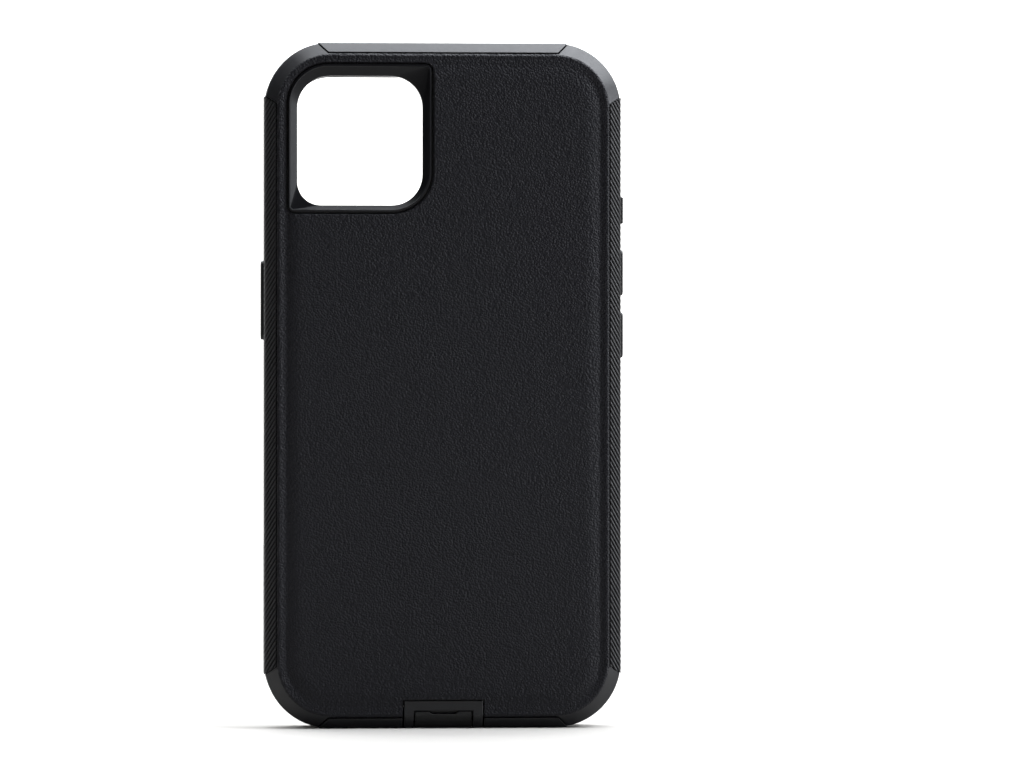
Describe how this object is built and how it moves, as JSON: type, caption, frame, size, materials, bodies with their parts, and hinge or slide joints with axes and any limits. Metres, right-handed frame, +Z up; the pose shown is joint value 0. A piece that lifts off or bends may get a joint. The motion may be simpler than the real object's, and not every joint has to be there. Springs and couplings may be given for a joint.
{
  "type": "phone case",
  "caption": "Rugged two-layer phone case: hard back shell and front frame in a soft cover with ribbed side grips, press buttons, a hinged mute cover and a hinged port flap.",
  "frame": {"origin": "on the floor at the middle of the lower end, as the case stands upright", "axes": "+Z up the length of the case, -Y out of its back, +Y out of the screen side, +X to the right seen from the back"},
  "size_m": [0.0856, 0.0146, 0.161],
  "materials": {
    "soft_cover": "fine leather-like grain, matte",
    "grip_rubber": "ribbed, matte",
    "strip_soft": "smooth, satin",
    "hard_shell": "smooth moulded, matte",
    "camera_trim": "smooth moulded, semi-gloss",
    "port_trim": "smooth moulded, satin",
    "foam": "thin closed-cell foam",
    "button_rubber": "smooth, matte",
    "flap_rubber": "smooth, matte"
  },
  "bodies": {
    "case": {"outer_cover": "soft_cover", "left_grip": "grip_rubber", "right_grip": "grip_rubber", "top_strip": "strip_soft", "bottom_left_strip": "strip_soft", "bottom_right_strip": "strip_soft", "back_shell": "hard_shell", "camera_surround": "camera_trim", "port_surround": "port_trim", "foam_liner": "foam"},
    "front_frame": {"front_frame": "hard_shell"},
    "power_button": {"power_button": "button_rubber"},
    "volume_up_button": {"volume_up_button": "button_rubber"},
    "volume_down_button": {"volume_down_button": "button_rubber"},
    "mute_switch_cover": {"mute_switch_cover": "button_rubber"},
    "charging_port_cover": {"charging_port_cover": "flap_rubber"}
  },
  "joints": [
    {"name": "front_frame_lift", "type": "slide", "parent": "case", "child": "front_frame", "axis": [0, 1, 0], "range_m": [0, 0.02]},
    {"name": "power_button_press", "type": "slide", "parent": "case", "child": "power_button", "axis": [1, 0, 0], "range_m": [0, 0.0006], "stiffness_N_per_m": 900},
    {"name": "volume_up_press", "type": "slide", "parent": "case", "child": "volume_up_button", "axis": [-1, 0, 0], "range_m": [0, 0.0006], "stiffness_N_per_m": 900},
    {"name": "volume_down_press", "type": "slide", "parent": "case", "child": "volume_down_button", "axis": [-1, 0, 0], "range_m": [0, 0.0006], "stiffness_N_per_m": 900},
    {"name": "mute_cover_hinge", "type": "hinge", "parent": "case", "child": "mute_switch_cover", "pos_m": [0.0421, 0.0019, 0.1218], "axis": [0, 0, 1], "range_deg": [0, 100]},
    {"name": "port_cover_hinge", "type": "hinge", "parent": "case", "child": "charging_port_cover", "pos_m": [0, 0.0041, 0.0008], "axis": [1, 0, 0], "range_deg": [0, 100]}
  ]
}
